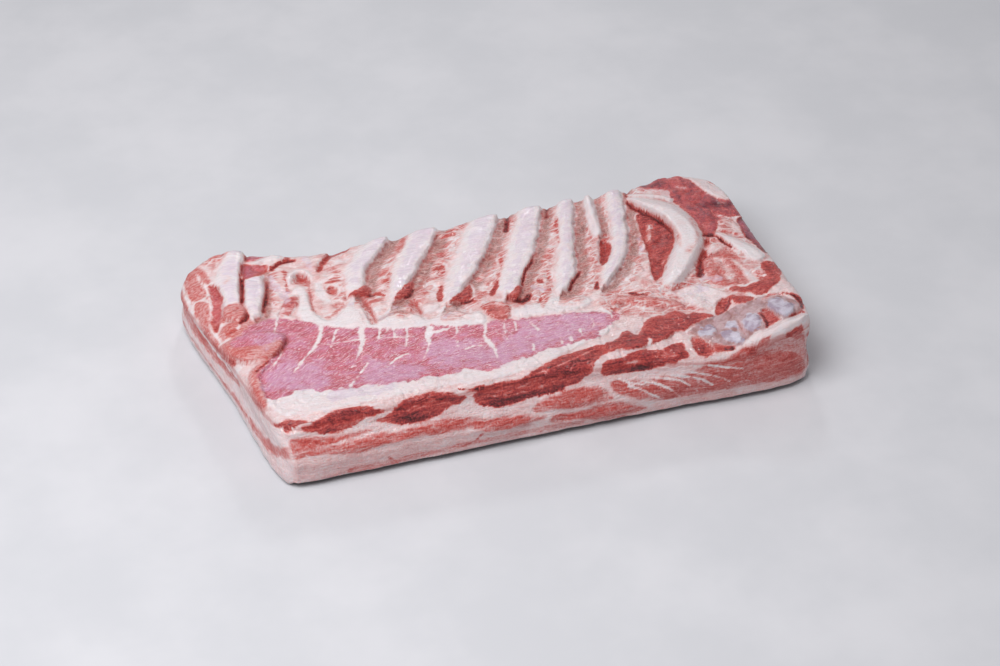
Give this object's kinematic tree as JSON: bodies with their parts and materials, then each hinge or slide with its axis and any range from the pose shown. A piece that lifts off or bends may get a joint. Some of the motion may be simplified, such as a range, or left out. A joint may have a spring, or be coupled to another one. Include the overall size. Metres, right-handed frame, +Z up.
{
  "type": "pork belly slab",
  "caption": "Raw pork belly slab with the ribs pulled, lying skin side down, showing rib strips, silverskin and streaky layered cut sides.",
  "frame": {"origin": "middle of the slab's bounding box, on the surface that its skin rests on", "axes": "+X along the slab from the flank end to the shoulder end, +Y from the trimmed front side to the loin side, +Z up from the skin to the rib side"},
  "size_m": [0.458, 0.2476, 0.0608],
  "materials": {
    "meat": "moist raw meat with white fat, semi-gloss"
  },
  "bodies": {
    "root": {"belly_slab": "meat"}
  },
  "joints": []
}
